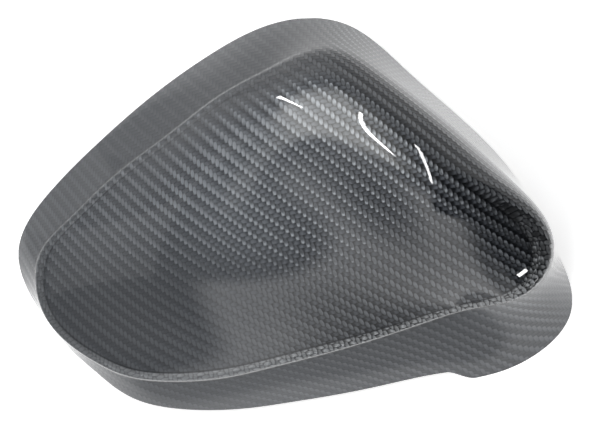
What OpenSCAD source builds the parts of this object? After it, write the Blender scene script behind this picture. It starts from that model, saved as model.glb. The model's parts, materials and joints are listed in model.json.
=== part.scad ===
// Wing mirror cover: a domed carbon fibre shell with six snap clips bonded inside.
// It lies open side down: the rim is in the plane Z = 0 and the crown points up.
// The origin is in the rim plane, at the middle of the cover's length and width.
// The pointed tip, which is the outer end on the car, lies to -X and the deep end to +X.

/* [Cover] */
// Length of the outline at the rim, along X
cover_l = 251; // [235:1:265]
// Width of the outline at the rim, along Y
cover_w = 179; // [168:1:190]
// Height of the crease above the rim plane where it is highest, at the deep end
crease_h = 46; // [43:1:49]
// How far the middle of the face lies below a plain dome over the crease
crown_drop = 12; // [8:1:16]
// How much more of that drop there is towards the deep end, from the middle to the crease
drop_lean_x = 29; // [25:1:33]
// How much more of it there is towards the far side
drop_lean_y = 21; // [17:1:25]
// How much more of it there is at both ends than at both sides
drop_saddle = 3; // [0:1:6]
// How much more of it there is at the deep end's far side and the tip's near side
drop_twist = 12; // [8:1:16]
// Thickness of the laid-up wall
wall = 2; // [1.4:0.1:2.6]
// Half the width of the rounded strip along the crease
crease_blend = 2; // [1.5:0.5:3]
// Half the width of the broad shoulder that the crease fades into, by the deep end
shoulder_blend = 16; // [13:1:18]
// How far the crease stands out as a narrow rounded bead
crease_bead = 0.7; // [0.4:0.1:0.9]

/* [Cut-back edge] */
// How far the near edge is cut back above the rim plane
cut_rise = 5; // [3:0.5:7]
// Distance from the deep end to the step where the cut-back starts, along X
step_x = 41; // [35:1:48]
// Length of the step's ramp
step_run = 11; // [8:1:16]
// Distance from the near side to where the cut-back has run out at the tip end, along Y
cut_end_y = 42; // [36:1:50]
// Length over which it runs out there
cut_fade = 25; // [20:1:35]

/* [Clips] */
// Width of a clip's tongue
clip_w = 12; // [8:1:14]
// Thickness of a clip's tongue
clip_t = 1.8; // [1.4:0.1:2.4]
// Length of the tongue, from the middle of its pad down
clip_drop = 10; // [8:0.5:11]
// How far the hook stands out from the tongue
hook_out = 1.6; // [1:0.1:2.2]
// Height of the hook
hook_h = 3.2; // [2.4:0.1:4]
// Distance from the crease line in to the tongue
clip_inset = 13; // [12:0.5:15]
// Margin of the bonded pad around the tongue
pad_margin = 4; // [3:0.5:5]
// Thickness of the bonded pad
pad_t = 1.8; // [1.4:0.1:2.4]
// Thickness of the glue line between pad and shell
glue = 0.2; // [0.2:0.05:0.35]

/* [Hidden] */
$fn = 32;

// The outline is drawn for this length, width and height, and stretched from there
drawn_l = 251;
drawn_w = 179;
drawn_h = 46;

// Handles of the closed outline, clockwise from the tip, seen from above. Each holds
// X and Y of the rim, how far the crease lies inside the rim there, how high the crease
// stands above the rim plane, the slope of the face where it leaves the crease, how
// far the crease has faded into the shoulder, and how full its bead is, both from 0 to 1.
HANDLES = [
    [-142, -18, 18, 12, 10, 0, 0.5],    // tip
    [-122,   9, 21, 13, 10, 0, 0.5],
    [ -97,  32, 20, 16, 23, 0, 0.4],
    [ -72,  53, 25, 20, 33, 0, 0.4],
    [ -45,  71, 23, 25, 39, 0, 0.4],
    [ -15,  87, 27, 30, 43, 0, 0.4],
    [  20,  87, 16, 35, 52, 0.3, 0.2],  // far corner
    [  44,  62,  8, 41, 52, 1, 0],
    [  69,  41,  6, 45, 49, 1, 0],
    [  93,  17,  5, 46, 47, 0.9, 0.1],
    [ 107, -12,  0, 43, 38, 0.1, 1],
    [ 123, -44, 28, 37, 24, 0, 1],    // deep end
    [  90, -70, 36, 33, 20, 0, 1],
    [  59, -73, 28, 30, 17, 0, 1],
    [  27, -82, 26, 28, 12, 0, 1],
    [  -8, -88, 23, 26, 11, 0, 1],
    [ -34, -93, 21, 22, 13, 0, 1],
    [ -78, -93, 20, 18, 12, 0, 1],    // near corner
    [ -98, -75, 10, 14, 10, 0, 0.8],
    [-122, -51,  1, 12, 10, 0, 0.6]
];
M = len(HANDLES);

// Fineness of the surface
COLS = 120;       // columns around the shell
FACE_ROWS = 14;   // rows from the face's middle to the crease strip
BLEND_ROWS = 5;   // rows across the crease strip
BAND_ROWS = 3;    // rows down the band
WAVES = 20;       // waves that the crease line is made of
SAMPLES = 80;     // points that the waves are worked out from
PAD_COLS = 6;     // columns across a clip
PAD_ROWS = 3;     // rows of a pad

function unit(v) = v / norm(v);
function sum(list) = [for (v = list) 1] * list;
function smooth(t) = let (c = min(1, max(0, t))) c * c * (3 - 2 * c);

// Place of a rim handle, stretched to the size that is asked for
function rim_handle(k) =
    let (h = HANDLES[(k + M) % M]) [h[0] * cover_l / drawn_l, h[1] * cover_w / drawn_w, 0];

// Place of a crease handle: inwards from the rim handle, and up
function crease_handle(k) =
    let (along = unit(rim_handle(k + 1) - rim_handle(k - 1)),
         h = HANDLES[(k + M) % M])
    rim_handle(k) + [along[1], -along[0], 0] * h[2] + [0, 0, h[3] * crease_h / drawn_h];

RIM = [for (k = [0:M - 1]) rim_handle(k)];
CREASE = [for (k = [0:M - 1]) crease_handle(k)];
SLOPE = [for (h = HANDLES) [tan(h[4])]];
FADE = [for (h = HANDLES) [h[5]]];
BEAD = [for (h = HANDLES) [h[6]]];

// Point of a closed cubic B-spline, u from 0 to 1 around it
function spline(handles, u) =
    let (s = u * M, k = floor(s), f = s - k,
         w = [pow(1 - f, 3), 3 * pow(f, 3) - 6 * f * f + 4,
              -3 * pow(f, 3) + 3 * f * f + 3 * f + 1, pow(f, 3)] / 6)
    sum([for (j = [0:3]) w[j] * handles[(k + j - 1 + M) % M]]);

// A closed curve as waves around a disc. Each wave holds its cosine and its sine part,
// and dies away towards the middle as r to the power of its number, which stretches
// the curve over the disc like a film over a wire.
function waves(samples) =
    [for (n = [0:WAVES]) (n == 0 ? 1 : 2) / SAMPLES * [
        sum([for (i = [0:SAMPLES - 1]) samples[i] * cos(360 * n * i / SAMPLES)]),
        sum([for (i = [0:SAMPLES - 1]) samples[i] * sin(360 * n * i / SAMPLES)])]];
function film(w, r, u) =
    sum([for (n = [0:WAVES]) pow(r, n) * (w[n][0] * cos(360 * n * u) + w[n][1] * sin(360 * n * u))]);
// How fast the film moves outwards at the edge of the disc
function spread(w, u) =
    sum([for (n = [0:WAVES]) n * (w[n][0] * cos(360 * n * u) + w[n][1] * sin(360 * n * u))]);

CREASE_WAVES = waves([for (i = [0:SAMPLES - 1]) spline(CREASE, i / SAMPLES)]);

// How much the dome adds to the film's fall, so that the face meets the crease at its slope
FALL_WAVES = waves([for (i = [0:SAMPLES - 1])
    let (s = spread(CREASE_WAVES, i / SAMPLES))
    [s[2] + spline(SLOPE, i / SAMPLES)[0] * norm([s[0], s[1]])]]);

// Point of the face at radius r of the disc and turn u
function face(r, u) =
    let (x = -r * cos(360 * u), y = r * sin(360 * u),
         dome = (1 - r * r) / 2 * film(FALL_WAVES, r, u)[0],
         drop = crown_drop + drop_lean_x * x + drop_lean_y * y
                + drop_saddle * (x * x - y * y) + drop_twist * x * y)
    film(CREASE_WAVES, r, u) + [0, 0, dome - pow(1 - r * r, 2) * drop];

// Outward direction of the face there
STEP = 0.002;
function face_normal(r, u) =
    unit(cross(face(r - STEP, u) - face(r + STEP, u), face(r, u + STEP) - face(r, u - STEP)));

// Height of the rim's edge: the near side is cut back from the step to the tip end
RIM_LINE = [for (i = [0:239]) spline(RIM, i / 240)];
DEEP_END = max([for (p = RIM_LINE) p[0]]);
NEAR_SIDE = min([for (p = RIM_LINE) p[1]]);
function edge_z(p) =
    let (before_end = NEAR_SIDE + cut_end_y - p[1], past_step = DEEP_END - step_x - p[0])
    cut_rise * smooth(past_step / step_run) * smooth(before_end / cut_fade);

// The rim's edge: down the band from the crease, as far as the cut-back leaves it
function foot(u) =
    let (rim = spline(RIM, u), crease = spline(CREASE, u))
    crease + (rim - crease) * (1 - edge_z(rim) / crease[2]);

// Columns stand closer together at the step, which lies at about this turn
STEP_TURN = 0.632;
CROWDING = 0.6;
function turn(j) = let (t = j / COLS) t - CROWDING / 360 * sin(360 * (t - STEP_TURN)) * 57.2958;

// The middle of the cover's length and width, which the origin is moved to
EDGE = [for (j = [0:COLS - 1]) foot(turn(j))];
MIDDLE = [for (a = [0:1]) (max([for (p = EDGE) p[a]]) + min([for (p = EDGE) p[a]])) / 2];

// One column of the outer skin, from the face's first row to the rim
function column(u) =
    let (crease = spline(CREASE, u),
         middle = face(0, 0),
         blend = crease_blend + (shoulder_blend - crease_blend) * spline(FADE, u)[0],
         r_end = 1 - blend / norm([crease[0] - middle[0], crease[1] - middle[1]]),
         down = unit(spline(RIM, u) - crease),
         p0 = face(r_end, u),
         out = unit(p0 - face(r_end - STEP, u)),
         p1 = crease + down * blend,
         reach = norm(p1 - p0) * 1.1)
    concat(
        [for (i = [1:FACE_ROWS]) face(r_end * sin(90 * i / FACE_ROWS), u)],
        [for (i = [1:BLEND_ROWS]) let (t = i / BLEND_ROWS)
            (2 * pow(t, 3) - 3 * t * t + 1) * p0 + (pow(t, 3) - 2 * t * t + t) * reach * out
            + (3 * t * t - 2 * pow(t, 3)) * p1 + (pow(t, 3) - t * t) * reach * down],
        [for (i = [1:BAND_ROWS]) p1 + (foot(u) - p1) * i / BAND_ROWS]);

// The same column with the bead, which stands out from the crease strip
function beaded(c, u) =
    let (along = spline(CREASE, u + STEP) - spline(CREASE, u - STEP),
         out = unit(cross(along, c[FACE_ROWS + BLEND_ROWS - 1] - c[FACE_ROWS - 1])),
         rise = crease_bead * spline(BEAD, u)[0])
    [for (i = [0:len(c) - 1]) let (t = min(1, max(0, (i - FACE_ROWS + 1) / BLEND_ROWS)))
        c[i] + out * rise * pow(sin(180 * t), 2)];

module carbon_shell() {
    plain = [for (j = [0:COLS - 1]) column(turn(j))];
    outer = [for (j = [0:COLS - 1]) beaded(plain[j], turn(j))];
    rows = len(plain[0]);
    middle = face(0, 0);
    // The inner skin lies one wall inside, along the skin's normals without the bead. At
    // the rim it slides along the band, so that the cut edge lies flat on the table.
    inner = [for (j = [0:COLS - 1]) [for (i = [0:rows - 1])
        let (p = plain[j][i],
             up = i == 0 ? middle : plain[j][i - 1],
             dn = i == rows - 1 ? p : plain[j][i + 1],
             along = plain[(j + 1) % COLS][i] - plain[(j + COLS - 1) % COLS][i],
             n = unit(cross(along, dn - up)),
             slope = unit(up - dn))
        i == rows - 1 ? p - n * wall + slope * wall * n[2] / slope[2] : p - n * wall]];
    top = [middle, middle - face_normal(2 * STEP, 0) * wall];
    points = concat(top, [for (c = outer) each c], [for (c = inner) each c]);
    outer_at = function(i, j) 2 + (j % COLS) * rows + i;
    inner_at = function(i, j) 2 + COLS * rows + (j % COLS) * rows + i;
    faces = concat(
        [for (j = [0:COLS - 1]) [0, outer_at(0, j), outer_at(0, j + 1)]],
        [for (j = [0:COLS - 1]) [1, inner_at(0, j + 1), inner_at(0, j)]],
        [for (j = [0:COLS - 1], i = [0:rows - 2]) each [
            [outer_at(i, j), outer_at(i + 1, j), outer_at(i + 1, j + 1)],
            [outer_at(i, j), outer_at(i + 1, j + 1), outer_at(i, j + 1)],
            [inner_at(i, j), inner_at(i + 1, j + 1), inner_at(i + 1, j)],
            [inner_at(i, j), inner_at(i, j + 1), inner_at(i + 1, j + 1)]]],
        [for (j = [0:COLS - 1]) each [
            [outer_at(rows - 1, j), inner_at(rows - 1, j), inner_at(rows - 1, j + 1)],
            [outer_at(rows - 1, j), inner_at(rows - 1, j + 1), outer_at(rows - 1, j + 1)]]]);
    color([0.16, 0.17, 0.18])
    translate([-MIDDLE[0], -MIDDLE[1], 0])
    polyhedron(points, faces, convexity = 6);
}

// A clip inside the crease at turn u. Its pad follows the shell's inner skin, and its
// tongue hangs straight down from the pad, with a hook that points inwards.
module clip(u) {
    edge = spline(CREASE, u);
    middle = face(0, 0);
    // Steps of r and u that make one millimetre inwards and one along the crease
    r_mm = 1 / norm([edge[0] - middle[0], edge[1] - middle[1]]);
    r0 = 1 - clip_inset * r_mm;
    u_mm = 0.01 / norm(face(r0, u + 0.005) - face(r0, u - 0.005));
    // Point at s inwards and t along, at a depth below the outer skin
    at = function(s, t, depth)
        let (r = r0 - s * r_mm, v = u + t * u_mm) face(r, v) - face_normal(r, v) * depth;
    // The pad, a grid of points on its upper and its lower side
    side = clip_w / 2 + pad_margin;
    deep = clip_t / 2 + pad_margin;
    upper = wall + glue;
    pad = [for (d = [upper, upper + pad_t], i = [0:PAD_ROWS], j = [0:PAD_COLS])
        at(-deep + 2 * deep * i / PAD_ROWS, -side + 2 * side * j / PAD_COLS, d)];
    cols = PAD_COLS + 1;
    under = cols * (PAD_ROWS + 1);
    id = function(i, j) i * cols + j;
    pad_faces = concat(
        [for (i = [0:PAD_ROWS - 1], j = [0:PAD_COLS - 1]) each [
            [id(i, j), id(i, j + 1), id(i + 1, j + 1)],
            [id(i, j), id(i + 1, j + 1), id(i + 1, j)],
            [under + id(i, j), under + id(i + 1, j + 1), under + id(i, j + 1)],
            [under + id(i, j), under + id(i + 1, j), under + id(i + 1, j + 1)]]],
        [for (j = [0:PAD_COLS - 1], i = [0, PAD_ROWS])
            let (q = [id(i, j), id(i, j + 1), under + id(i, j + 1), under + id(i, j)])
            each i == 0 ? [[q[0], q[2], q[1]], [q[0], q[3], q[2]]]
                        : [[q[0], q[1], q[2]], [q[0], q[2], q[3]]]],
        [for (i = [0:PAD_ROWS - 1], j = [0, PAD_COLS])
            let (q = [id(i, j), id(i + 1, j), under + id(i + 1, j), under + id(i, j)])
            each j == 0 ? [[q[0], q[1], q[2]], [q[0], q[2], q[3]]]
                        : [[q[0], q[2], q[1]], [q[0], q[3], q[2]]]]);
    // The tongue: a profile of seven corners at each of its columns
    foot_z = at(0, 0, upper + pad_t / 2)[2] - clip_drop;
    tongue = [for (j = [0:PAD_COLS])
        let (t = -clip_w / 2 + clip_w * j / PAD_COLS,
             back = at(-clip_t / 2, t, upper + pad_t / 2),
             front = at(clip_t / 2, t, upper + pad_t / 2),
             in = unit([front[0] - back[0], front[1] - back[1], 0]),
             f = [front[0], front[1], foot_z],
             b = [back[0], back[1], foot_z])
        each [back, front, f + [0, 0, hook_h], f + in * hook_out + [0, 0, hook_h],
              f + in * hook_out + [0, 0, hook_h * 0.7], f, b]];
    cap = [[0, 1, 2], [0, 2, 6], [2, 5, 6], [2, 3, 4], [2, 4, 5]];
    last = 7 * PAD_COLS;
    tongue_faces = concat(
        cap,
        [for (c = cap) [last + c[2], last + c[1], last + c[0]]],
        [for (j = [0:PAD_COLS - 1], k = [0:6]) let (a = 7 * j + k, b = 7 * j + (k + 1) % 7) each [
            [a, b + 7, b],
            [a, a + 7, b + 7]]]);
    color([0.1, 0.1, 0.11])
    translate([-MIDDLE[0], -MIDDLE[1], 0])
    union() {
        polyhedron(pad, pad_faces, convexity = 4);
        polyhedron(tongue, tongue_faces, convexity = 4);
    }
}

module clip_tip() { clip(0.0); }
module clip_far_left() { clip(0.16); }
module clip_far_right() { clip(0.28); }
module clip_deep_end() { clip(0.5); }
module clip_near_right() { clip(0.66); }
module clip_near_left() { clip(0.84); }

carbon_shell();
clip_tip();
clip_far_left();
clip_far_right();
clip_deep_end();
clip_near_right();
clip_near_left();
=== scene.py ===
# %% [markdown]
# # Wing mirror cover
# The real cover is a thin shell of carbon cloth and resin, laid up in a mould and given a
# thick, glossy clear coat. It lies open side down on a pale floor. The CAD part gives its
# frame and sizes. This script draws the same surface more finely, lays a twill cloth over
# it, and lights it with care, because a glossy dark thing is known by what it mirrors.
#
# The shell is worked out in millimetres in the part's own frame: the rim is in the plane
# z = 0, +x points to the deep end and +y to the far side. Its mesh and the stage round it
# are made in metres.

import json
import math

import bpy
import numpy as np
from mathutils import Matrix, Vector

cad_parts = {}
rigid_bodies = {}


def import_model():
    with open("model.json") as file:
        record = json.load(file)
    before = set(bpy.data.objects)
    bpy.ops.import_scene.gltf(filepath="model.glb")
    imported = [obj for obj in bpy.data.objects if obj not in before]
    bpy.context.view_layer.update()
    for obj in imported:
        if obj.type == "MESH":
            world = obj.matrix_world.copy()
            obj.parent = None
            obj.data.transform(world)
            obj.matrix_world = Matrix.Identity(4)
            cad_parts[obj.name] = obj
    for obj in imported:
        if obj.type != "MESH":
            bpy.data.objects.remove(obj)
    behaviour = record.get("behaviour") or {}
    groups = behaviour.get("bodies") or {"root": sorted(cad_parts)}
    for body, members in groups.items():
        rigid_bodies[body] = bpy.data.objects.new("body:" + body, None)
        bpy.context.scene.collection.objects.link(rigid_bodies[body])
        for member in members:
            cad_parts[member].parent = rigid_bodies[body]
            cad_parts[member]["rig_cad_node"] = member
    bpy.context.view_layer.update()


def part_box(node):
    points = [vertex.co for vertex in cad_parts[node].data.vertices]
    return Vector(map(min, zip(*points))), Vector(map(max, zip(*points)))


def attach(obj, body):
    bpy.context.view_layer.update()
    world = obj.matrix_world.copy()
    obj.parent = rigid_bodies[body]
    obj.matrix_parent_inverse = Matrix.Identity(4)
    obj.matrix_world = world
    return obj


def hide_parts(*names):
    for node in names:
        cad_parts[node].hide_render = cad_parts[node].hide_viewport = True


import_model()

# %% [markdown]
# ## Rim and crease
# A sharp crease runs round a raised face, and a band falls from it to the rim. The lines
# could be drawn as Blender curves, but then modifiers would have to guess the surface
# between them. Here each line is a closed cubic B-spline that twenty handles pull into
# shape. It is worked out with numpy, so that any point of it can be asked for. The handles
# are the CAD part's own, so that the finer surface lies on the CAD one. Their places and
# slopes are rounded results of a fit to the outline and the crease in the photograph.

# %% Handles
# Each one holds x and y of the rim, how far the crease lies inside it, the crease's height,
# the slope of the face there in degrees, how far the crease has faded into the shoulder,
# and how full its bead is.
HANDLES = np.array([
    [-142, -18, 18, 12, 10, 0, 0.5], [-122, 9, 21, 13, 10, 0, 0.5], [-97, 32, 20, 16, 23, 0, 0.4],
    [-72, 53, 25, 20, 33, 0, 0.4], [-45, 71, 23, 25, 39, 0, 0.4], [-15, 87, 27, 30, 43, 0, 0.4],
    [20, 87, 16, 35, 52, 0.3, 0.2], [44, 62, 8, 41, 52, 1, 0], [69, 41, 6, 45, 49, 1, 0],
    [93, 17, 5, 46, 47, 0.9, 0.1], [107, -12, 0, 43, 38, 0.1, 1], [123, -44, 28, 37, 24, 0, 1],
    [90, -70, 36, 33, 20, 0, 1], [59, -73, 28, 30, 17, 0, 1], [27, -82, 26, 28, 12, 0, 1],
    [-8, -88, 23, 26, 11, 0, 1], [-34, -93, 21, 22, 13, 0, 1], [-78, -93, 20, 18, 12, 0, 1],
    [-98, -75, 10, 14, 10, 0, 0.8], [-122, -51, 1, 12, 10, 0, 0.6],
], float)
print(len(HANDLES), "handles, which reach over", np.ptp(HANDLES[:, :2], axis=0), "mm")


# %% Small functions
def spline(handles, u):
    """Closed uniform cubic B-spline at u in 0..1: the sum of w_j(f) h_(k+j-1), f the share of the span."""
    m = len(handles)
    s = np.asarray(u) * m
    k = np.floor(s).astype(int)
    f = (s - k)[..., None]
    w = [(1 - f) ** 3, 3 * f**3 - 6 * f**2 + 4, -3 * f**3 + 3 * f**2 + 3 * f + 1, f**3]
    return sum(w[j] * handles[(k + j - 1) % m] for j in range(4)) / 6


def unit(v):
    """v divided by its length."""
    return v / np.linalg.norm(v, axis=-1, keepdims=True)


def smooth(t):
    """3 t^2 - 2 t^3 between 0 and 1."""
    t = np.clip(t, 0, 1)
    return t * t * (3 - 2 * t)


print("half way, smooth gives", smooth(0.5))

# %% Rim and crease handles
along = unit(np.roll(HANDLES[:, :2], -1, 0) - np.roll(HANDLES[:, :2], 1, 0))
inwards = np.c_[along[:, 1], -along[:, 0]]
RIM = np.c_[HANDLES[:, :2], np.zeros(len(HANDLES))]
CREASE = np.c_[HANDLES[:, :2] + inwards * HANDLES[:, 2:3], HANDLES[:, 3]]
SLOPE = np.tan(np.radians(HANDLES[:, 4:5]))
FADE = HANDLES[:, 5:6]
BEAD = HANDLES[:, 6:7]
print("crease heights from", CREASE[:, 2].min(), "to", CREASE[:, 2].max(), "mm")

# %% [markdown]
# ## The face
# The face swells gently from the crease, as a sail does. A patch of control points could
# model it, but its twenty sides would leave dents. So the crease's closed curve is written
# as a sum of cosines and sines, and each of them fades towards the middle as r^n, as a
# stretched film does. A dome gives the face its slope at the crease, and a shallow
# drop lowers its middle to about the height that the photograph shows.

# %% A film over the crease
SAMPLES, WAVES = 80, 20  # turns at which the crease is read, and waves kept of it


def waves(values):
    """Cosine and sine parts of a closed curve given at SAMPLES even turns."""
    angle = 2 * np.pi * np.outer(np.arange(WAVES + 1), np.arange(SAMPLES) / SAMPLES)
    c, s = np.cos(angle) @ values * 2 / SAMPLES, np.sin(angle) @ values * 2 / SAMPLES
    c[0] /= 2
    return c, s


def film(w, r, u, rate=False):
    """The sum of r^n (c_n cos n a + s_n sin n a), with a = 2 pi u; rate gives its d/dr at r = 1."""
    r, u = np.broadcast_arrays(np.asarray(r, float), np.asarray(u, float))
    n = np.arange(WAVES + 1)
    p = n if rate else r[..., None] ** n
    a = 2 * np.pi * u[..., None] * n
    return (p * np.cos(a)) @ w[0] + (p * np.sin(a)) @ w[1]


turns = np.arange(SAMPLES) / SAMPLES
crease_waves = waves(spline(CREASE, turns))
print("middle of the film:", crease_waves[0][0].round(2))

# %% The dome and the drop
DROP = (12, 29, 21, 3, 12)  # millimetres below a plain dome: level, leans, saddle, twist
edge_rate = film(crease_waves, 1, turns, rate=True)
edge_run = np.linalg.norm(edge_rate[:, :2], axis=1)[:, None]
fall_waves = waves(edge_rate[:, 2:] + spline(SLOPE, turns) * edge_run)


def face(r, u):
    """The film, plus a dome (1-r^2)/2 q(r,u), less (1-r^2)^2 (d0 + d1 x + d2 y + d3 (x^2-y^2) + d4 x y)."""
    x, y = -r * np.cos(2 * np.pi * u), r * np.sin(2 * np.pi * u)
    p = film(crease_waves, r, u)
    p[..., 2] += (1 - r * r) / 2 * film(fall_waves, r, u)[..., 0]
    drop = DROP[0] + DROP[1] * x + DROP[2] * y + DROP[3] * (x * x - y * y) + DROP[4] * x * y
    p[..., 2] -= (1 - r * r) ** 2 * drop
    return p


print("middle of the face:", face(np.array(0.0), np.array(0.0)).round(2))

# %% [markdown]
# ## The rim's edge
# From a step near the deep end to the tip, the near side of the rim is cut back, and stands
# a little above the floor. A Boolean could cut it, but would leave uneven faces in the
# mesh. Here the band's lower end is lifted along the band instead, and the columns of
# the grid crowd together at the step, where the lift changes fast.

# %% Cut-back rim and even columns
CUT_RISE = 5.0                    # how far the near rim is cut back
STEP_X, STEP_RUN = 41.0, 11.0     # the step's distance from the deep end, and its length
CUT_END_Y, CUT_FADE = 42.0, 25.0  # where the cut ends, from the near side, and how it fades
STEP_TURN, CROWDING = 0.632, 0.6  # the turn at which the step lies, and how much columns crowd there
RIM_SAMPLES, EDGE_SAMPLES = 240, 120  # turns at which the rim and its cut edge are measured
rim_line = spline(RIM, np.arange(RIM_SAMPLES) / RIM_SAMPLES)


def foot(u):
    """The band's lower end: the rim, moved towards the crease until it has risen by the cut."""
    rim, crease = spline(RIM, u), spline(CREASE, u)
    lift = CUT_RISE * smooth((rim_line[:, 0].max() - STEP_X - rim[..., 0]) / STEP_RUN)
    lift = lift * smooth((rim_line[:, 1].min() + CUT_END_Y - rim[..., 1]) / CUT_FADE)
    return crease + (rim - crease) * (1 - lift / crease[..., 2])[..., None]


def crowded(t):
    """t - c / (2 pi) sin(2 pi (t - t0)): turns that stand closer together at the step."""
    return t - CROWDING / (2 * np.pi) * np.sin(2 * np.pi * (t - STEP_TURN))


edge = foot(crowded(np.arange(EDGE_SAMPLES) / EDGE_SAMPLES))
MIDDLE = np.array([*(edge[:, :2].max(0) + edge[:, :2].min(0)) / 2, 0])
print("middle of the drawn outline:", MIDDLE.round(3))

# %% [markdown]
# ## The skin as a grid
# The visible skin is one grid of points. Each column runs from the middle of the face to
# the crease, round a narrow strip that rounds the crease, and down the band. A Bevel
# modifier could round a sharp crease, but not one that widens into a soft shoulder, as
# this one does at the far side of the deep end. So the strip is a cubic curve that leaves
# the face and joins the band in their own directions, and its width grows with the fade.

# %% Columns, and where the crease strip starts and ends
COLS, FACE_ROWS, BLEND_ROWS, BAND_ROWS = 480, 80, 18, 18
BLEND = (2.0, 16.0)  # half the width of the strip at the crease, and at the shoulder
STRIP_PULL = 1.1     # how strongly the strip's ends hold their directions
NUDGE = 0.002        # a small step of r or u, for directions
u = crowded(np.arange(COLS) / COLS)
crease, rim, middle = spline(CREASE, u), spline(RIM, u), face(np.array(0.0), np.array(0.0))
blend = BLEND[0] + (BLEND[1] - BLEND[0]) * spline(FADE, u)
r_end = 1 - blend[:, 0] / np.linalg.norm((crease - middle)[:, :2], axis=1)
down = unit(rim - crease)
strip_top = face(r_end, u)
out = unit(strip_top - face(r_end - NUDGE, u))
strip_foot = crease + down * blend
reach = np.linalg.norm(strip_foot - strip_top, axis=1, keepdims=True) * STRIP_PULL
print("the strip is", (2 * blend.min()).round(1), "to", (2 * blend.max()).round(1), "mm wide")

# %% Rows of the face, the strip and the band
share = np.sin(np.pi / 2 * np.arange(1, FACE_ROWS + 1) / FACE_ROWS)[:, None]
face_rows = face(share * r_end, np.broadcast_to(u, (FACE_ROWS, COLS)))
t_strip = (np.arange(1, BLEND_ROWS + 1) / BLEND_ROWS)[:, None]
t = t_strip[..., None]
strip_rows = (2 * t**3 - 3 * t**2 + 1) * strip_top + (t**3 - 2 * t**2 + t) * reach * out \
    + (3 * t**2 - 2 * t**3) * strip_foot + (t**3 - t**2) * reach * down
t_band = (np.arange(1, BAND_ROWS + 1) / BAND_ROWS)[:, None]
band_rows = strip_foot + (foot(u) - strip_foot) * t_band[..., None]
plain = np.concatenate([face_rows, strip_rows, band_rows]) - MIDDLE
strip = slice(FACE_ROWS, FACE_ROWS + BLEND_ROWS)
print("plain skin:", len(plain), "rows by", COLS, "columns")

# %% [markdown]
# ## The bead and the deep corner
# Where the cloth is pressed round the crease it stands out as a narrow bead. It is a real
# height in the mesh, because its shine and its outline show it. At the deep corner the
# crease also bulges out over the band. The bulge is pushed out level, all along the strip,
# and dies away fast over the face and evenly down the band.

# %% Outer skin
BEAD_RISE = 0.7                     # how far the bead stands out
BULGE_HANDLE, BULGE_OUT = 10, 10.0  # the deep corner's handle, and how far it is pulled out
BULGE_FALL = 6                      # how fast the bulge dies away over the face
ahead = spline(CREASE, u + NUDGE) - spline(CREASE, u - NUDGE)
outwards = unit(np.cross(ahead, strip_foot - strip_top))
outer = plain.copy()
outer[strip] += outwards * BEAD_RISE * spline(BEAD, u) * np.sin(np.pi * t) ** 2
bulge = np.zeros((len(HANDLES), 1))
bulge[BULGE_HANDLE] = BULGE_OUT
ahead = unit(ahead)
away = np.c_[-ahead[:, 1], ahead[:, 0], np.zeros(COLS)]
fall = np.concatenate([
    (share * r_end) ** BULGE_FALL,
    np.ones((BLEND_ROWS, COLS)),
    np.broadcast_to(1 - t_band, (BAND_ROWS, COLS)),
])
outer += fall[..., None] * spline(bulge, u) * away
middle = middle - MIDDLE
rows = len(outer)
print("the deep corner bulges out by", spline(bulge, u).max().round(1), "mm")

# %% [markdown]
# ## The inside
# The real shell has an inner skin of bare cloth, one wall inside the outer one. Solidify
# could make it, but at the rim it leaves a slanted edge, and the real cut edge lies flat on
# the floor. So the plain skin is moved in along its normals, with a third of the rows, and
# its last row slides along the band down to the rim's own height.

# %% Inner skin
WALL = 2.0
BAND_KEPT = (5, 11, 17)  # rows of the band that the inside keeps


def normals(grid, top):
    """Outward normals: the cross product of the steps to the neighbours along and across the rows."""
    above = np.concatenate([np.broadcast_to(top, (1, *grid.shape[1:])), grid[:-1]])
    below = np.concatenate([grid[1:], grid[-1:]])
    return unit(np.cross(np.roll(grid, -1, 1) - np.roll(grid, 1, 1), below - above))


normal = normals(plain, middle)
inner = plain - normal * WALL
slope = unit(plain[-2] - plain[-1])
inner[-1] += slope * WALL * normal[-1, :, 2:] / slope[:, 2:]
keep = np.r_[np.arange(2, FACE_ROWS + BLEND_ROWS, 3), FACE_ROWS + BLEND_ROWS + np.array(BAND_KEPT)]
inner = inner[keep]
print("inner skin:", len(inner), "rows")

# %% [markdown]
# ## How the cloth lies
# Real cloth keeps its tows near one width and shears as it goes over a dome. Unwrapping the
# mesh in Blender would stretch it instead. Here U and V count tows of the cloth: U from the
# tip to the deep end, V from the far side to the near side. Over the face both are
# polynomials of the plan position, in hundreds of millimetres. Their factors are rounded
# results of a fit to the weave's steps at places of the photograph, with the tows held
# near one width. Past the face the cloth goes on as if the strip and the band were
# unfolded into the face.

# %% Lay of the cloth over the face
POWERS = [(0, 1), (0, 2), (0, 3), (0, 4), (1, 0), (1, 1), (1, 2), (1, 3), (2, 0), (2, 1), (2, 2), (3, 0),
          (3, 1), (4, 0)]
LAY_U = [12.0, -12.3, 7.0, 14.0, 54.3, -2.3, -3.3, 7.5, -2.8, 5.3, 14.2, 3.5, 4.3, 0.2]
LAY_V = [-54.0, 2.7, -6.2, -1.3, 9.4, -1.9, 0.4, -9.3, -4.2, -3.3, -2.7, -0.3, -0.1, 1.2]


def lay(p):
    """Tow counts (U, V) at plan positions: the sums of k_ab x^a y^b, x and y in hundreds of mm."""
    x, y = p[..., 0] / 100, p[..., 1] / 100
    terms = np.stack([x**a * y**b for a, b in POWERS], -1)
    return np.stack([terms @ np.array(LAY_U), terms @ np.array(LAY_V)], -1)


def lay_rate(p, step=0.5):
    """Change of (U, V) per millimetre along x and along y, as the columns of a 2 by 2."""
    ex, ey = np.array([step, 0, 0]), np.array([0, step, 0])
    return np.stack([(lay(p + ex) - lay(p - ex)), (lay(p + ey) - lay(p - ey))], -1) / (2 * step)


print("tows per mm at the middle:", np.linalg.norm(lay_rate(middle), axis=0).round(3))

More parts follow.
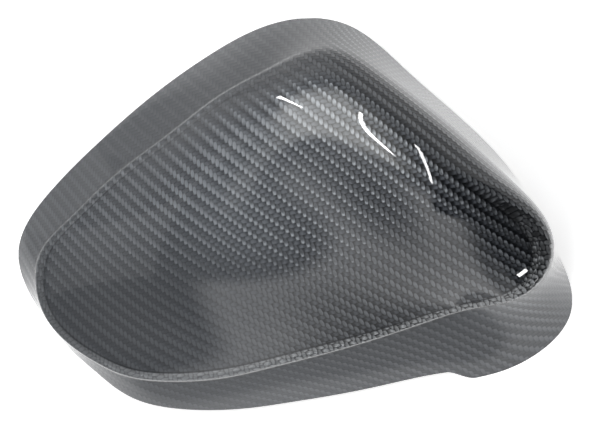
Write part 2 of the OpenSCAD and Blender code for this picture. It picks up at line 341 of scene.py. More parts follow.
# %% The cloth over the crease and down the band
# Each step down a column is laid flat: its part along the row stays, and the rest goes on
# in the direction in which the face left off.
run = unit(np.roll(strip_top, -1, 0) - np.roll(strip_top, 1, 0))
side = unit(out - run * (out * run).sum(-1, keepdims=True))
steps = np.diff(outer[FACE_ROWS - 1:], axis=0)
with_run = (steps * run).sum(-1, keepdims=True)
over = np.sqrt(np.maximum((steps**2).sum(-1, keepdims=True) - with_run**2, 0))
flat = np.cumsum(run * with_run + side * over, axis=0)[..., :2]
seam = strip_top - MIDDLE
past_seam = lay(seam) + np.einsum("jab,...jb->...ja", lay_rate(seam), flat)
outer_uv = np.concatenate([lay(outer[:FACE_ROWS]), past_seam])
inner_uv = outer_uv[keep]
print("tows across the cover:", np.ptp(outer_uv[..., 0]).round(), "by", np.ptp(outer_uv[..., 1]).round())

# %% [markdown]
# ## The shell's mesh
# The outer skin, the inner skin and the cut edge between them make one closed mesh, so that
# the shell has a true wall from every side. The grids become quads by arithmetic on
# the point numbers, with no loop. The UV map holds the tow counts.


# %% Points and faces of the shell
def grid_faces(first, n_rows, turned):
    """Quads of a closed grid whose points start at first, row by row; turned faces the other way."""
    i, j = np.meshgrid(np.arange(n_rows - 1), np.arange(COLS), indexing="ij")
    k = (j + 1) % COLS
    quads = np.stack([i * COLS + j, (i + 1) * COLS + j, (i + 1) * COLS + k, i * COLS + k], -1)
    quads = quads.reshape(-1, 4) + first
    return quads[:, ::-1] if turned else quads


n_out, n_in = rows * COLS, len(inner) * COLS
vertices = np.concatenate([outer.reshape(-1, 3), inner.reshape(-1, 3), [middle, middle - [0, 0, WALL]]])
middle_uv = lay(np.array([middle, middle]))
vertex_uv = np.concatenate([outer_uv.reshape(-1, 2), inner_uv.reshape(-1, 2), middle_uv])
j = np.arange(COLS)
k = (j + 1) % COLS
rim_out, rim_in = n_out - COLS, n_out + n_in - COLS
quads = np.concatenate([
    grid_faces(0, rows, False),
    grid_faces(n_out, len(inner), True),
    np.stack([rim_out + j, rim_in + j, rim_in + k, rim_out + k], -1),
])
fans = np.concatenate([
    np.stack([np.full(COLS, n_out + n_in), j, k], -1),
    np.stack([np.full(COLS, n_out + n_in + 1), n_out + k, n_out + j], -1),
])
print(len(quads), "quads, and", len(fans), "triangles at the two middles")

# %% The mesh, kept inside the CAD box
lo, hi = 1000 * np.array(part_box("carbon_shell")[0]), 1000 * np.array(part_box("carbon_shell")[1])
print("past the CAD box by mm:", (lo - vertices.min(0)).round(3), (vertices.max(0) - hi).round(3))
vertices = np.clip(vertices, lo, hi)
mesh = bpy.data.meshes.new("shell")
mesh.from_pydata((vertices / 1000).tolist(), [], quads.tolist() + fans.tolist())
corners = np.concatenate([quads.ravel(), fans.ravel()])
mesh.uv_layers.new(name="cloth").data.foreach_set("uv", vertex_uv[corners].astype(np.float32).ravel())
OUTSIDE, INSIDE, EDGE = 0, 1, 2
skin = np.full(len(mesh.polygons), OUTSIDE, np.int32)
skin[(rows - 1) * COLS:(rows + len(inner) - 2) * COLS] = INSIDE
skin[-COLS:] = INSIDE
skin[len(quads) - COLS:len(quads)] = EDGE
mesh.polygons.foreach_set("material_index", skin)
print("faces outside, inside and on the cut edge:", np.bincount(skin))

# %% [markdown]
# ## Masks for the cloth's look, and for painted light
# Three things about the cloth's look change from place to place. On the bead's crown a
# painted highlight lightens the tows, and a thin line of painted shade runs on either side.
# The relief is how clearly the weave shows, in its bumps and in a painted light and dark
# contrast between the tows: strongly at the deep end, less towards the tip, and faintly on the
# band. Painted image masks could hold this, but numbers kept on the mesh's points follow the
# shape exactly and need no picture.

# %% Crown highlight, shade lines and relief, all with painted light
LOW_RELIEF_AND_LIGHT, BAND_RELIEF_AND_LIGHT = 0.42, 0.25  # how clearly the weave and its painted light and dark contrast show near the tip, and on the band
RELIEF_AND_LIGHT_FROM, RELIEF_AND_LIGHT_RUN = -30, 90     # where along x the weave and its painted contrast start to show more, and over how far
CROWN_END, CROWN_FADE = 0.7, 0.15     # where the painted highlight on the crown ends on the strip, as shares of it
CROWN_INWARD, CROWN_SOFT = 1.0, 0.5   # how far it reaches over the face, in mm
LINE_AT, LINE_HALF = 0.92, 0.08       # the lower line of painted shade on the strip, as shares of it
LINE_INWARD, LINE_SOFT = 1.8, 0.4     # the upper one on the face, in mm
fullness = spline(BEAD, u)[:, 0]
inward = np.linalg.norm(face_rows - strip_top, axis=-1)
crown, lines = np.zeros((2, rows, COLS))
# The crown mask paints a highlight on the bead's top.
crown[strip] = fullness**2 * (1 - smooth((t_strip - CROWN_END) / CROWN_FADE))
crown[:FACE_ROWS] = fullness**2 * (1 - smooth((inward - CROWN_INWARD) / CROWN_SOFT))
# The lines mask paints shade in thin lines on either side of the bead.
lines[strip] = fullness * np.exp(-((t_strip - LINE_AT) / LINE_HALF) ** 2)
lines[:FACE_ROWS] = fullness * np.exp(-((inward - LINE_INWARD) / LINE_SOFT) ** 2)
# The relief sets the weave's bumps, and also a painted light and dark contrast between the tows that grows
# towards the deep end.
relief = LOW_RELIEF_AND_LIGHT + (1 - LOW_RELIEF_AND_LIGHT) * smooth((outer[..., 0] - RELIEF_AND_LIGHT_FROM) / RELIEF_AND_LIGHT_RUN)
relief[FACE_ROWS + BLEND_ROWS:] = BAND_RELIEF_AND_LIGHT
relief[strip] += (BAND_RELIEF_AND_LIGHT - relief[strip]) * smooth(2 * t_strip - 1)
for name, values in (("crown", crown), ("lines", lines), ("relief", relief)):
    whole = np.zeros(len(vertices), np.float32)
    whole[:n_out] = values.ravel()
    mesh.attributes.new(name, "FLOAT", "POINT").data.foreach_set("value", whole)
    print(name, "from", values.min().round(2), "to", values.max().round(2))

# %% The shell as an object
SHARP = 35  # degrees: only the cut edge is sharper than this
mesh.validate()
mesh.shade_smooth()
mesh.set_sharp_from_angle(angle=math.radians(SHARP))
shell = bpy.data.objects.new("shell", mesh)
bpy.context.scene.collection.objects.link(shell)
print("shell:", len(mesh.vertices), "vertices,", len(mesh.polygons), "faces")

# %% [markdown]
# ## Shader nodes by name
# A material is a tree of nodes. It could be wired by hand in the Shader Editor, but nobody
# could read that here. These helpers add one node, set its inputs or link them, and give
# back what it puts out, so that each material below reads as a few sentences.


# %% One node, and sums of numbers
def add(tree, kind, inputs=None, **settings):
    """A node with its settings, and its inputs set to a value or linked from a socket."""
    n = tree.nodes.new(kind)
    for name, value in settings.items():
        setattr(n, name, value)
    for name, value in (inputs or {}).items():
        if isinstance(value, bpy.types.NodeSocket):
            tree.links.new(value, n.inputs[name])
        else:
            n.inputs[name].default_value = value
    return n


def maths(tree, operation, a, b=0.0, c=0.0):
    """One Math node's result."""
    return add(tree, "ShaderNodeMath", {0: a, 1: b, 2: c}, operation=operation).outputs[0]


def vector(tree, operation, a, b, c=(0, 0, 0)):
    """One Vector Math node with vectors in and out."""
    return add(tree, "ShaderNodeVectorMath", {0: a, 1: b, 2: c}, operation=operation).outputs[0]


def length(tree, a):
    """The length of a vector."""
    return add(tree, "ShaderNodeVectorMath", {0: a}, operation="LENGTH").outputs["Value"]


print("helpers for numbers are ready")


# %% Choosing between values
def between(tree, value, low, high, to_low=0.0, to_high=1.0):
    """Smoothly from to_low at low to to_high at high."""
    ends = {"Value": value, "From Min": low, "From Max": high, "To Min": to_low, "To Max": to_high}
    return add(tree, "ShaderNodeMapRange", ends, interpolation_type="SMOOTHSTEP").outputs["Result"]


def choose(tree, factor, a, b):
    """The number a where factor is 0, b where it is 1."""
    return add(tree, "ShaderNodeMix", {"Factor": factor, "A": a, "B": b}, data_type="FLOAT").outputs["Result"]


def choose_colour(tree, factor, a, b):
    """The colour a where factor is 0, b where it is 1: inputs 6 and 7 of a Mix node are its colours."""
    return add(tree, "ShaderNodeMix", {"Factor": factor, 6: a, 7: b}, data_type="RGBA").outputs[2]


print("helpers for choosing are ready")


# %% Groups and materials
def object_place(tree):
    """The place on the piece in metres, from its Object coordinates."""
    return add(tree, "ShaderNodeTexCoord").outputs["Object"]


def new_group(name, inputs, outputs):
    """An empty node group with named inputs and outputs."""
    tree = bpy.data.node_groups.new(name, "ShaderNodeTree")
    for label, kind in inputs:
        tree.interface.new_socket(label, in_out="INPUT", socket_type=kind)
    for label, kind in outputs:
        tree.interface.new_socket(label, in_out="OUTPUT", socket_type=kind)
    return tree, tree.nodes.new("NodeGroupInput"), tree.nodes.new("NodeGroupOutput")


def new_material(name):
    """An empty material and its tree."""
    m = bpy.data.materials.new(name)
    m.use_nodes = True
    m.node_tree.nodes.clear()
    return m, m.node_tree


def show(tree, surface):
    """Makes this shader the material's surface."""
    add(tree, "ShaderNodeOutputMaterial", {"Surface": surface})


print("helpers for groups and materials are ready")

# %% [markdown]
# ## Twill
# In a two by two twill every tow goes over two and under two, and each row steps on by one,
# which draws the diagonal ribs. Modelling thousands of tows would take millions of faces,
# and an image would blur close up, so the weave is arithmetic on the tow counts. With i
# and j the whole tow counts, the tow that runs along V is on top where (i - j) mod 4 is 0
# or 1. A float, the part of a tow that shows, is one tow wide and two long. It is round
# across its width and dips at both ends, which gives its normal, and what lies outside
# an oval round its middle is a gap. It is a group, because three materials use it.

# %% Twill group: which tow is on top, and where on its float
GAP_EDGE = (0.34, 0.58)  # from the float's middle to where the gap starts and is full
twill, g_in, g_out = new_group(
    "twill",
    [("Tows", "NodeSocketVector"), ("Round", "NodeSocketFloat"), ("Dip", "NodeSocketFloat")],
    [("Upright", "NodeSocketFloat"), ("Gap", "NodeSocketFloat"), ("Normal Colour", "NodeSocketColor")],
)
U, V = add(twill, "ShaderNodeSeparateXYZ", {0: g_in.outputs["Tows"]}).outputs[:2]
i, j = maths(twill, "FLOOR", U), maths(twill, "FLOOR", V)
fu, fv = maths(twill, "SUBTRACT", U, i), maths(twill, "SUBTRACT", V, j)
step = maths(twill, "FLOORED_MODULO", maths(twill, "SUBTRACT", i, j), 4.0)
upright = maths(twill, "LESS_THAN", step, 1.5)
along_v = maths(twill, "MULTIPLY", maths(twill, "ADD", maths(twill, "SUBTRACT", 1.0, step), fv), 0.5)
along_u = maths(twill, "MULTIPLY", maths(twill, "ADD", maths(twill, "SUBTRACT", step, 2.0), fu), 0.5)
float_pos = choose(twill, upright, along_u, along_v)
across = maths(twill, "SUBTRACT", choose(twill, upright, fv, fu), 0.5)
print("twill group, so far:", len(twill.nodes), "nodes")

# %% Twill group: its normal, its gaps and its outputs
lean_across = maths(twill, "MULTIPLY", maths(twill, "MULTIPLY", across, 2.0), g_in.outputs["Round"])
lean_along = maths(twill, "MULTIPLY", maths(twill, "MULTIPLY_ADD", float_pos, 2.0, -1.0), g_in.outputs["Dip"])
lean_u = choose(twill, upright, lean_along, lean_across)
lean_v = choose(twill, upright, lean_across, lean_along)
lean = add(twill, "ShaderNodeCombineXYZ", {"X": lean_u, "Y": lean_v, "Z": 1.0}).outputs[0]
lean = add(twill, "ShaderNodeVectorMath", {0: lean}, operation="NORMALIZE").outputs[0]
HALF = (0.5, 0.5, 0.5)  # a normal's -1..1 is written as a colour's 0..1
lean = vector(twill, "MULTIPLY_ADD", lean, HALF, HALF)
from_middle = {"X": across, "Y": maths(twill, "SUBTRACT", float_pos, 0.5)}
oval = length(twill, add(twill, "ShaderNodeCombineXYZ", from_middle).outputs[0])
gap = between(twill, oval, *GAP_EDGE)
for label, socket in (("Upright", upright), ("Gap", gap), ("Normal Colour", lean)):
    twill.links.new(socket, g_out.inputs[label])
print("twill group:", len(twill.nodes), "nodes")

# %% [markdown]
# ## Carbon under clear coat
# A tow is thousands of fine fibres side by side. Like brushed metal, it mirrors light in a
# fan across the fibres, so that tows laid one way look light where those laid the other
# look dark. So the surface is mostly metallic and anisotropic, and its direction
# turns by a quarter from one tow to the other. Over it lies the coat, smooth and clear,
# which gives the sharp reflections. It follows the shell's own normal, not the weave's.
# The upright tows' base colour is also painted lighter, as lit, and the cross tows' darker, as shaded.

# %% Carbon material
ROUND, DIP = 0.30, 0.45  # how much a float leans at its sides, and at its ends
CARBON = {"Metallic": 0.85, "Coat Roughness": 0.02, "Coat IOR": 1.5}
HIGHLIGHT_SHARE, SHADE_LINE_SHARE = 0.75, 0.9  # how fully the painted highlight on the crown and the painted shade lines take their colours
SOFT_MIX = 0.4  # the share of the upright tow's painted lit colour where neither the weave nor its painted contrast shows


def carbon(name, upright_painted_lit, cross_painted_shade, crown_highlight_colour, resin_and_painted_shade, coat, roughness):
    """Twill cloth: tows reflect across their fibres, gaps between them are resinous and dark, upright tows
    are painted lit and cross tows painted shade, and the bead's top has a painted highlight with thin painted
    shade on either side.
    """
    m, tree = new_material(name)
    uv = add(tree, "ShaderNodeUVMap", uv_map="cloth").outputs[0]
    weave = add(tree, "ShaderNodeGroup", {"Tows": uv, "Round": ROUND, "Dip": DIP}, node_tree=twill)
    upright, gap = weave.outputs["Upright"], weave.outputs["Gap"]
    crown, lines, relief = (
        add(tree, "ShaderNodeAttribute", attribute_name=mask).outputs["Fac"]
        for mask in ("crown", "lines", "relief"))
    # The relief scales a painted light and dark contrast between the tows, and the bumps below.
    mix = maths(tree, "MULTIPLY_ADD", maths(tree, "SUBTRACT", upright, SOFT_MIX), relief, SOFT_MIX)
    # The upright tows' colour is painted lit, and the cross tows' colour is painted shade.
    colour = choose_colour(tree, mix, cross_painted_shade, upright_painted_lit)
    # A painted highlight on the bead's crown.
    colour = choose_colour(tree, maths(tree, "MULTIPLY", crown, HIGHLIGHT_SHARE), colour, crown_highlight_colour)
    colour = choose_colour(tree, maths(tree, "MULTIPLY", gap, relief), colour, resin_and_painted_shade)
    # Painted shade in thin lines beside the bead, in the resin's colour.
    colour = choose_colour(tree, maths(tree, "MINIMUM", lines, SHADE_LINE_SHARE), colour, resin_and_painted_shade)
    lean = {"Color": weave.outputs["Normal Colour"], "Strength": relief}
    normal = add(tree, "ShaderNodeNormalMap", lean, uv_map="cloth").outputs[0]
    tangent = add(tree, "ShaderNodeTangent", direction_type="UV_MAP", uv_map="cloth").outputs[0]
    turn = maths(tree, "MULTIPLY", maths(tree, "SUBTRACT", 1.0, upright), 0.25)
    show(tree, add(tree, "ShaderNodeBsdfPrincipled", {
        **CARBON, "Base Color": colour, "Roughness": roughness, "Coat Weight": coat, "Normal": normal,
        "Anisotropic": 0.75, "Anisotropic Rotation": turn, "Tangent": tangent}).outputs[0])
    return m


# The upright tows' colour is painted lighter, as lit, and the cross tows' darker, as shaded.
UPRIGHT_TOW_PAINTED_LIT, CROSS_TOW_PAINTED_SHADE = (0.118, 0.127, 0.140, 1), (0.036, 0.040, 0.047, 1)
# The crown colour is a painted highlight. The resin colour fills the gaps and also paints shade in lines
# beside the bead.
CROWN_HIGHLIGHT_COLOUR, RESIN_AND_PAINTED_SHADE = (0.26, 0.27, 0.28, 1), (0.014, 0.015, 0.018, 1)
carbon_coated = carbon("carbon_coated", UPRIGHT_TOW_PAINTED_LIT, CROSS_TOW_PAINTED_SHADE, CROWN_HIGHLIGHT_COLOUR, RESIN_AND_PAINTED_SHADE, coat=1.0, roughness=0.42)
print("coated carbon:", len(carbon_coated.node_tree.nodes), "nodes")

# %% [markdown]
# ## Bare cloth inside, and the cut edge
# The inside has the same cloth with next to no coat, so it is duller and more even: the
# same function makes it from other values. The cut edge is sanded resin, plain and dark.

# %% Inside and cut edge
# Inside too, the upright tows are painted lighter, as lit, and the cross tows darker, as shaded.
BARE_TOW_PAINTED_LIT, BARE_CROSS_PAINTED_SHADE, BARE_RESIN = (0.09, 0.09, 0.095, 1), (0.06, 0.06, 0.063, 1), (0.03, 0.03, 0.032, 1)
carbon_inside = carbon("carbon_inside", BARE_TOW_PAINTED_LIT, BARE_CROSS_PAINTED_SHADE, BARE_TOW_PAINTED_LIT, BARE_RESIN, coat=0.15, roughness=0.6)
cut_edge, tree = new_material("cut_edge")
sanded = {"Base Color": (0.02, 0.02, 0.021, 1), "Roughness": 0.45}
show(tree, add(tree, "ShaderNodeBsdfPrincipled", sanded).outputs[0])
for material in (carbon_coated, carbon_inside, cut_edge):
    mesh.materials.append(material)
print("materials on the shell:", [m.name for m in mesh.materials])

# %% [markdown]
# ## Materials of the CAD pieces
# The six clips are moulded in black plastic with a fine grain from the mould. It could be an
# image, but the clips have no UV map, so it is a noise in Object coordinates. The CAD
# shell is hidden behind the finer one, but it has cloth too, for whoever shows it: there
# the tows are counted by Object coordinates, straight through the shell.

# %% Clip plastic
GRAIN, GRAIN_DEPTH = 2500.0, 0.0001  # grains per metre, about, and their depth in metres
clip_black, tree = new_material("clip_black")
grain = {"Vector": object_place(tree), "Scale": GRAIN, "Detail": 2.0}
grain = add(tree, "ShaderNodeTexNoise", grain).outputs["Fac"]
bump = add(tree, "ShaderNodeBump", {"Height": grain, "Strength": 0.3, "Distance": GRAIN_DEPTH}).outputs[0]
plastic = {"Base Color": (0.02, 0.02, 0.022, 1), "Roughness": 0.5, "Normal": bump}
show(tree, add(tree, "ShaderNodeBsdfPrincipled", plastic).outputs[0])
print("clip plastic:", len(tree.nodes), "nodes")

# %% Cloth on the CAD shell
TOW_WIDTH = 0.00176  # in metres
carbon_on_cad, tree = new_material("carbon_on_cad")
tows = {0: object_place(tree), "Scale": 1 / TOW_WIDTH}
tows = add(tree, "ShaderNodeVectorMath", tows, operation="SCALE").outputs[0]
weave = add(tree, "ShaderNodeGroup", {"Tows": tows, "Round": ROUND, "Dip": DIP}, node_tree=twill)
# The upright tows are painted lit and the cross tows painted shade, as on the finer shell.
colour = choose_colour(tree, weave.outputs["Upright"], CROSS_TOW_PAINTED_SHADE, UPRIGHT_TOW_PAINTED_LIT)
colour = choose_colour(tree, weave.outputs["Gap"], colour, RESIN_AND_PAINTED_SHADE)
show(tree, add(tree, "ShaderNodeBsdfPrincipled", {
    **CARBON, "Base Color": colour, "Roughness": 0.42, "Coat Weight": 1.0}).outputs[0])
print("cloth on the CAD shell:", len(tree.nodes), "nodes")

# %% [markdown]
# ## The pieces in the CAD frame
# The new shell rides on the part's one body and takes the place of the CAD shell. The clips
# are the CAD's own solids, which are fine enough as they are.

# %% Pieces
CLIPS = ["clip_tip", "clip_far_left", "clip_far_right", "clip_deep_end", "clip_near_right", "clip_near_left"]
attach(shell, "root")
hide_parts("carbon_shell")
cad = {o["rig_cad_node"]: o for o in bpy.context.scene.objects if "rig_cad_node" in o}
for name, material in [("carbon_shell", carbon_on_cad)] + [(clip, clip_black) for clip in CLIPS]:
    cad[name].data.materials.clear()
    cad[name].data.materials.append(material)
print("CAD pieces shown:", CLIPS)

# %% [markdown]
# ## Floor
# The floor and the sky show white to the camera, and the floor keeps the cover's soft
# shadow. A floor lit white by lamps would light the cover from below too, and make it
# grey. So the floor is a pale matt surface with a glow that only the camera and clear
# pieces see. In the coat's reflections it glows round the cover, most on the near right
# side, and is dim beyond.


# %% A flat sheet of the stage
def sheet(name, x, y, height, material):
    """A level rectangle in metres, which is part of the stage and not of the object."""
    corners = [(x[0], y[0], height), (x[1], y[0], height), (x[1], y[1], height), (x[0], y[1], height)]
    flat_mesh = bpy.data.meshes.new(name)
    flat_mesh.from_pydata(corners, [], [(0, 1, 2, 3)])
    flat_mesh.materials.append(material)
    o = bpy.data.objects.new(name, flat_mesh)
    bpy.context.scene.collection.objects.link(o)
    return o


def seen_straight(tree, path):
    """1 for what the camera sees directly or through something clear."""
    return maths(tree, "MAXIMUM", path["Is Camera Ray"], path["Is Transmission Ray"])


print("a sheet is made of one face")

# %% Floor
PALE = (0.86, 0.86, 0.86, 1)
FLOOR_LIFT = 0.7  # glow of the floor as the camera sees it
# The bright part that is mirrored is an oval: its middle, its scale, its edge, and the glow
# inside and outside it
OVAL_MIDDLE, OVAL_SCALE = (0.02, -0.03, 0), (8, 11.5, 0)
OVAL_EDGE, OVAL_GLOW, BEYOND_GLOW = (1.2, 1.7), 0.8, 0.1
pale, tree = new_material("floor_pale")
path = add(tree, "ShaderNodeLightPath").outputs
seen = seen_straight(tree, path)
spot = vector(tree, "SUBTRACT", object_place(tree), OVAL_MIDDLE)
spot = length(tree, vector(tree, "MULTIPLY", spot, OVAL_SCALE))
mirrored = between(tree, spot, *OVAL_EDGE, OVAL_GLOW, BEYOND_GLOW)
strength = maths(tree, "MULTIPLY", seen, FLOOR_LIFT)
strength = maths(tree, "MULTIPLY_ADD", path["Is Glossy Ray"], mirrored, strength)
lift = add(tree, "ShaderNodeEmission", {"Color": (1, 1, 1, 1), "Strength": strength}).outputs[0]
matt = add(tree, "ShaderNodeBsdfDiffuse", {"Color": PALE}).outputs[0]
show(tree, add(tree, "ShaderNodeAddShader", {0: matt, 1: lift}).outputs[0])
floor = sheet("floor", (-3, 3), (-3, 3), 0.0, pale)
print("floor:", [round(v, 1) for v in floor.dimensions], "m")

# %% [markdown]
# ## Sky
# A studio could be built from many soft boxes, but each lamp adds noise and hard edges. The
# world itself can be painted instead: a bright horizon that dims overhead, a bright column
# in front on the left, and an unlit part on the right, which makes the deep end dark.
# Directions are read as x/z and y/z, as places on a ceiling, so that edges of the painted
# parts are straight in the room. The camera sees plain white.

# %% Directions in the sky
SKY_HEIGHTS, HORIZON, OVERHEAD = (0.1, 0.7), 1.0, 0.35
LOWEST = 0.04  # keeps x/z and y/z finite near the horizon
world = bpy.data.worlds.new("sky")
world.use_nodes = True
bpy.context.scene.world = world
tree = world.node_tree
tree.nodes.clear()
ray = add(tree, "ShaderNodeTexCoord").outputs["Generated"]
x, y, z = add(tree, "ShaderNodeSeparateXYZ", {0: ray}).outputs
lifted = maths(tree, "MAXIMUM", z, LOWEST)
x, y = maths(tree, "DIVIDE", x, lifted), maths(tree, "DIVIDE", y, lifted)
studio = between(tree, z, *SKY_HEIGHTS, HORIZON, OVERHEAD)
print("sky, so far:", len(tree.nodes), "nodes")

# %% Bright column and unlit part
COLUMN_X, COLUMN_SOLID, COLUMN_GONE, COLUMN_Y, COLUMN_GLOW = -0.44, 0.1, 0.42, (-0.35, -0.15), 1.6
UNLIT_LEAN, UNLIT_X, UNLIT_Y, UNLIT_GLOW = 0.21, (-0.22, 0.0), (0.2, 0.5), 0.04
off_column = maths(tree, "ABSOLUTE", maths(tree, "SUBTRACT", x, COLUMN_X))
column = between(tree, off_column, COLUMN_SOLID, COLUMN_GONE, 1.0, 0.0)
front = maths(tree, "MULTIPLY", column, between(tree, y, *COLUMN_Y, 1.0, 0.0))
studio = maths(tree, "MULTIPLY_ADD", front, COLUMN_GLOW, studio)
beyond = maths(tree, "MULTIPLY_ADD", y, UNLIT_LEAN, x)
dark = maths(tree, "MULTIPLY", between(tree, beyond, *UNLIT_X), between(tree, y, *UNLIT_Y, 1.0, 0.0))
studio = maths(tree, "MULTIPLY", studio, maths(tree, "MULTIPLY_ADD", dark, UNLIT_GLOW - 1, 1.0))
seen = seen_straight(tree, add(tree, "ShaderNodeLightPath").outputs)
strength = choose(tree, seen, studio, 1.0)
sky = add(tree, "ShaderNodeBackground", {"Color": (1, 1, 1, 1), "Strength": strength}).outputs[0]
add(tree, "ShaderNodeOutputWorld", {"Surface": sky})
print("sky:", len(tree.nodes), "nodes")

# %% [markdown]
# ## Lamps
# The photograph shows thin white streaks on the coat: strip lights of the room, mirrored in
# the curved face, and a small spark at the deep corner. A streak painted on the material
# would stay put when the view turns, and a lamp's reflection moves as it should. Each tube
# stands about where the line of sight leads, once the coat has mirrored it at the streak.
# The places were found by tracing such lines, and rounded. The spark's lamp hangs low
# beside the cover, under the flag that comes below. A weak soft lamp on the left lifts
# the tip end.


# %% A lamp
def lamp(name, place, along, facing, size, glow):
    """A rectangular lamp: its long side lies along one direction, and a glow of 1 is white."""
    data = bpy.data.lights.new(name, "AREA")
    data.shape = "RECTANGLE"
    data.size, data.size_y = size
    data.energy = glow * math.pi * size[0] * size[1]
    o = bpy.data.objects.new(name, data)
    bpy.context.scene.collection.objects.link(o)
    y = unit(along)
    z = unit(facing - y * (facing @ y))
    x = np.cross(y, z)
    o.matrix_world = Matrix([[x[a], y[a], z[a], place[a]] for a in range(3)] + [[0, 0, 0, 1]])
    return o


print("a lamp is a rectangle that glows on one side")

# %% Soft lamp, tubes and spark
# Each tube: its name, its two ends and its width in metres, and its glow
TUBES = [
    ("tube_right", (0.21, 1.22, 2.03), (-0.57, -0.085, 2.35), 0.045, 25),
    ("tube_middle", (-0.092, 0.329, 0.741), (-0.382, 0.004, 1.062), 0.011, 40),
    ("spark_deep", (0.144, -0.171, 0.12), (0.163, -0.135, 0.12), 0.006, 30),
    ("tube_left", (-0.734, 0.486, 0.307), (-0.624, 0.192, 0.66), 0.012, 40),
]
SOFT_PLACE, SOFT_SIZE, SOFT_GLOW = np.array((-1.5, 0.1, 0.75)), (0.9, 0.7), 0.4
lamp("soft_left", SOFT_PLACE, np.cross(SOFT_PLACE, [0.0, 0, 1]), SOFT_PLACE, SOFT_SIZE, SOFT_GLOW)
for name, one, other, wide, glow in TUBES:
    one, other = np.array(one), np.array(other)
    centre, long = (one + other) / 2, np.linalg.norm(other - one)
    lamp(name, centre, other - one, centre, (wide, long), glow)
    print(name, "is", long.round(2), "m long")

# %% [markdown]
# ## Window
# The bright patch near the top of the face is a window, mirrored. Far off, it would be
# mirrored in the middle of the face too, because a dome shows each direction more than
# once. A pane just above the cover is seen from each place in another direction, so it
# shows in one patch alone. It glows and is otherwise clear. Neither the camera nor matt
# surfaces see it. Its edges are soft, and two of them slant.

# %% Window pane
WINDOW_HEIGHT, WINDOW_X, WINDOW_Y = 0.13, (-0.26, 0.10), (0.0, 0.17)
WINDOW_GLOW, DAYLIGHT = 4.3, (1, 1, 0.97, 1)
SILL, HEAD = (0.0, 0.018), (0.06, 0.16)      # where it starts and ends along y
LEFT_LEAN, LEFT_EDGE = 0.8, (-0.08, -0.035)  # its left and right edges slant with y
RIGHT_LEAN, RIGHT_EDGE = -0.25, (0.0, 0.05)
window_glow, tree = new_material("window_glow")
x, y = add(tree, "ShaderNodeSeparateXYZ", {0: object_place(tree)}).outputs[:2]
tall = maths(tree, "MULTIPLY", between(tree, y, *SILL), between(tree, y, *HEAD, 1.0, 0.0))
left = between(tree, maths(tree, "MULTIPLY_ADD", y, LEFT_LEAN, x), *LEFT_EDGE)
right = between(tree, maths(tree, "MULTIPLY_ADD", y, RIGHT_LEAN, x), *RIGHT_EDGE, 1.0, 0.0)
shape = maths(tree, "MULTIPLY", tall, maths(tree, "MULTIPLY", left, right))
strength = maths(tree, "MULTIPLY", shape, WINDOW_GLOW)
glow = add(tree, "ShaderNodeEmission", {"Color": DAYLIGHT, "Strength": strength}).outputs[0]
clear = add(tree, "ShaderNodeBsdfTransparent").outputs[0]
show(tree, add(tree, "ShaderNodeAddShader", {0: glow, 1: clear}).outputs[0])
window = sheet("window", WINDOW_X, WINDOW_Y, WINDOW_HEIGHT, window_glow)
window.visible_camera = window.visible_diffuse = False
print("window:", [round(v, 2) for v in window.dimensions], "m, at", WINDOW_HEIGHT, "m")

# %% [markdown]
# ## Dark flag
# Photographers hang black cloth, a flag, to put a crisp dark shape in something glossy. The
# deep end mirrors such a shape: a dark band with one step in its edge. A dark patch in the
# material would be wrong from every other side. Like the window, the flag hangs close,
# so that it is mirrored only there, and only reflections see it.

# %% Flag
FLAG_HEIGHT, FLAG_X, FLAG_Y = 0.13, (0.02, 0.7), (-0.5, 0.7)
LEFT_END, NEAR_END, CRISP = 0.035, -0.037, 0.004  # corner of the wide part, and its softness
FAR_X, FAR_LEAN, FAR_SOFT = 0.052, -1.25, 0.01    # the slanted far end
STEM_X, STEM_Y, STEM_LEAN, STEM_SOFT = 0.109, -0.06, 0.28, 0.006  # the narrow part, nearer by
flag_black, tree = new_material("flag_black")
x, y = add(tree, "ShaderNodeSeparateXYZ", {0: object_place(tree)}).outputs[:2]
slant = maths(tree, "MULTIPLY_ADD", maths(tree, "SUBTRACT", x, FAR_X), FAR_LEAN, y)
far = between(tree, slant, -FAR_SOFT, FAR_SOFT, 1.0, 0.0)
right_of = between(tree, x, LEFT_END - CRISP, LEFT_END + CRISP)
wide = maths(tree, "MULTIPLY", right_of, between(tree, y, NEAR_END - CRISP, NEAR_END + CRISP))
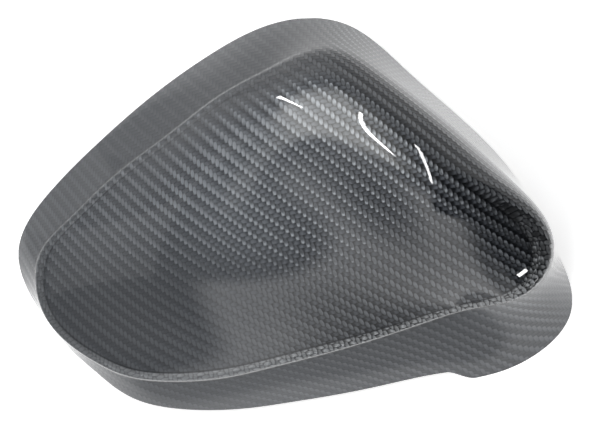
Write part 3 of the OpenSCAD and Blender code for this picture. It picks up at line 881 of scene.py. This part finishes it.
slant = maths(tree, "MULTIPLY_ADD", maths(tree, "SUBTRACT", y, STEM_Y), STEM_LEAN, x)
stem = between(tree, slant, STEM_X - STEM_SOFT, STEM_X + STEM_SOFT)
shape = maths(tree, "MULTIPLY", far, maths(tree, "MAXIMUM", wide, stem))
clear = add(tree, "ShaderNodeBsdfTransparent").outputs[0]
black = add(tree, "ShaderNodeBsdfDiffuse", {"Color": (0, 0, 0, 1)}).outputs[0]
show(tree, add(tree, "ShaderNodeMixShader", {0: shape, 1: clear, 2: black}).outputs[0])
flag = sheet("flag", FLAG_X, FLAG_Y, FLAG_HEIGHT, flag_black)
flag.visible_camera = flag.visible_diffuse = flag.visible_shadow = False
print("flag:", [round(v, 2) for v in flag.dimensions], "m, at", FLAG_HEIGHT, "m")

# %% [markdown]
# ## Camera
# The photograph was taken from nearly straight above, leaning 12 degrees towards the deep
# end. The distance of 0.64 m gives the perspective that the crease and the rim show.

# %% Camera
LEAN, DISTANCE, AIM_HEIGHT = 12, 0.64, 25  # degrees, metres, and millimetres above the floor
PHOTO_WIDTH, FOCAL = 589, 1504             # pixels across the photograph, and the lens in pixels
SENSOR = 36
camera = bpy.data.objects.new("camera", bpy.data.cameras.new("camera"))
bpy.context.scene.collection.objects.link(camera)
bpy.context.scene.camera = camera
lean = math.radians(LEAN)
back = np.array([math.sin(lean), 0, math.cos(lean)])
right = np.array([math.cos(lean), 0, -math.sin(lean)])
up = np.array([0.0, 1, 0])
place = (np.array([0, 0, AIM_HEIGHT]) - MIDDLE) / 1000 + back * DISTANCE
camera.matrix_world = Matrix([[right[a], up[a], back[a], place[a]] for a in range(3)] + [[0, 0, 0, 1]])
camera.data.sensor_width = SENSOR
camera.data.lens = SENSOR * FOCAL / PHOTO_WIDTH
camera.data.clip_start, camera.data.clip_end = 0.05, 20
print("camera at", place.round(3), "m, lens", round(camera.data.lens, 1), "mm")

# %% [markdown]
# ## Colour
# The Standard view shows a colour about as it is written, with no film curve over it.

# %% Colour
bpy.context.scene.view_settings.view_transform = "Standard"
